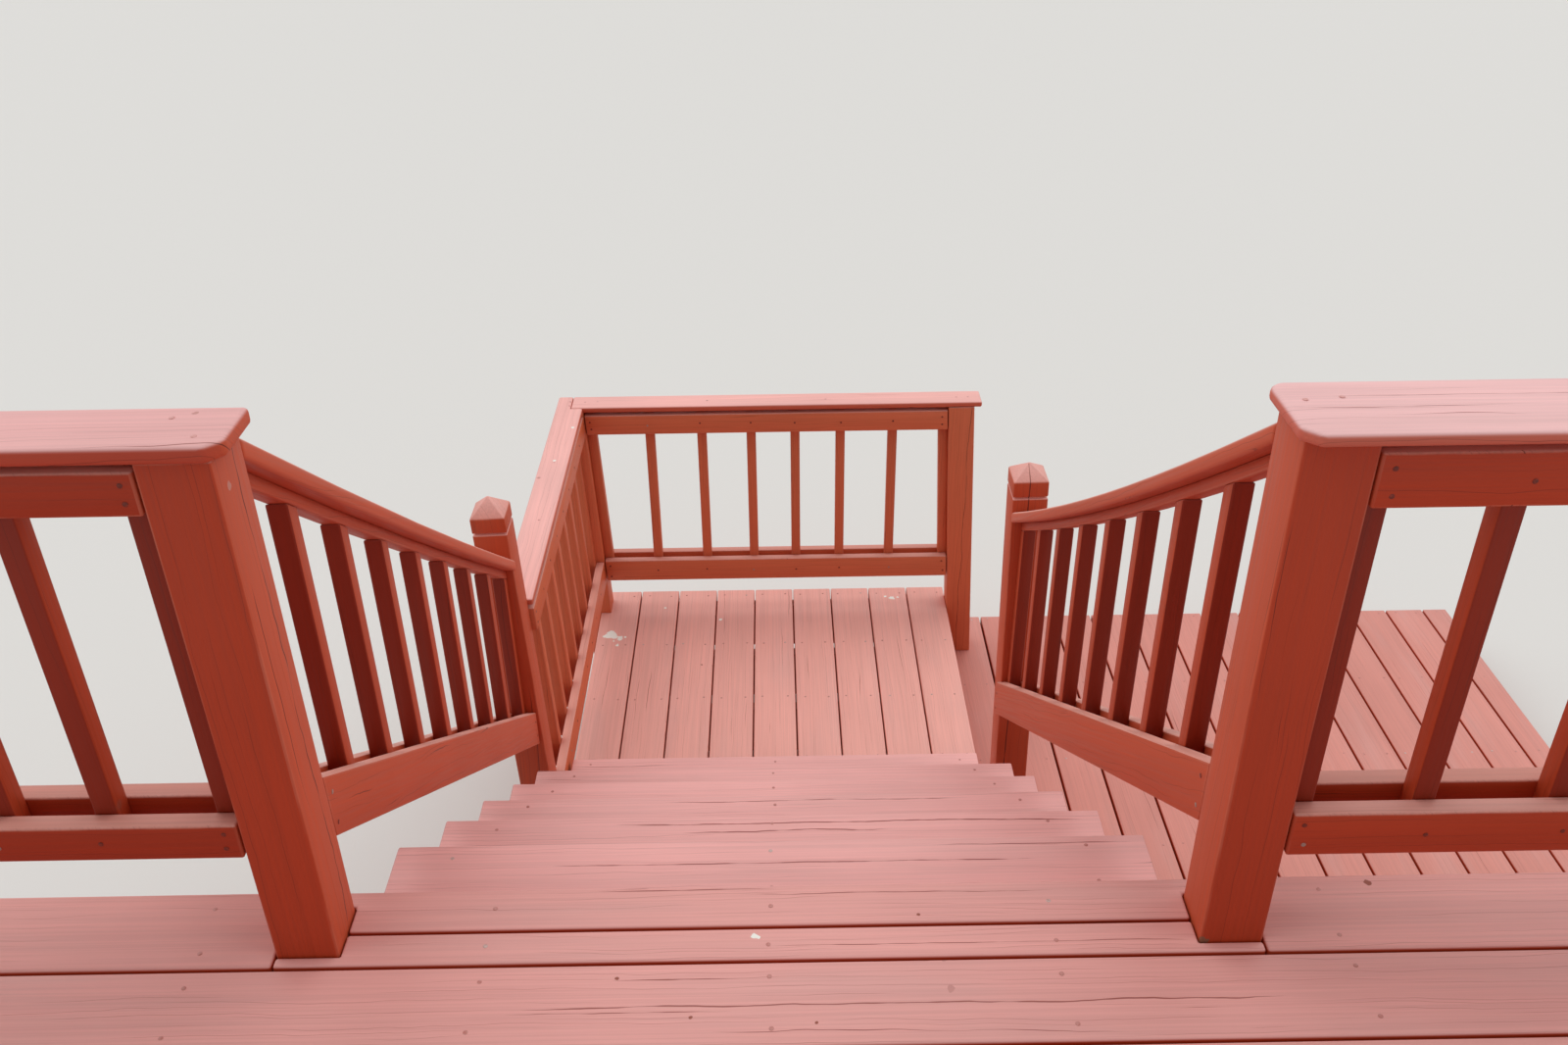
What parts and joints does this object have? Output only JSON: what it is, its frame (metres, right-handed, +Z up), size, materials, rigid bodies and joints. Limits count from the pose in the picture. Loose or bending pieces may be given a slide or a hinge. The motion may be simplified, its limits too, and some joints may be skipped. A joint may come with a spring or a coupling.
{
  "type": "deck stairs",
  "caption": "Wooden deck stairs: open plank treads between curved handrails lead from a raised deck down to a guarded landing beside a low deck.",
  "frame": {"origin": "on the ground under the middle of the object's box", "axes": "+Y down the flight and away from the raised deck, +X to the right for someone who walks down it and along the raised deck's edge, +Z up"},
  "size_m": [5.342, 4.4004, 2.596],
  "materials": {
    "deck boards": "solid stain, satin",
    "rails and posts": "solid stain, satin",
    "frame": "solid stain, satin"
  },
  "bodies": {
    "root": {"deck_boards": "deck boards", "tread_1": "deck boards", "tread_2": "deck boards", "tread_3": "deck boards", "tread_4": "deck boards", "tread_5": "deck boards", "tread_6": "deck boards", "landing_boards": "deck boards", "low_deck_boards": "deck boards", "deck_rims": "frame", "deck_joists": "frame", "deck_legs": "frame", "stair_header": "frame", "stringer_left": "frame", "stringer_middle": "frame", "stringer_right": "frame", "landing_frame": "frame", "landing_legs": "frame", "low_deck_frame": "frame", "upper_post_left": "rails and posts", "upper_post_right": "rails and posts", "guard_end_posts": "rails and posts", "guard_cap_left": "rails and posts", "guard_cap_right": "rails and posts", "guard_rails_left": "rails and posts", "guard_rails_right": "rails and posts", "guard_balusters_left": "rails and posts", "guard_balusters_right": "rails and posts", "lower_post_left": "rails and posts", "lower_post_right": "rails and posts", "handrail_left": "rails and posts", "handrail_right": "rails and posts", "subrail_left": "rails and posts", "subrail_right": "rails and posts", "bottom_rails_left": "rails and posts", "bottom_rails_right": "rails and posts", "stair_balusters_left": "rails and posts", "stair_balusters_right": "rails and posts", "landing_corner_post": "rails and posts", "landing_end_post": "rails and posts", "landing_caps": "rails and posts", "landing_rails_far": "rails and posts", "landing_rails_left": "rails and posts", "landing_balusters_far": "rails and posts", "landing_balusters_left": "rails and posts"}
  },
  "joints": []
}
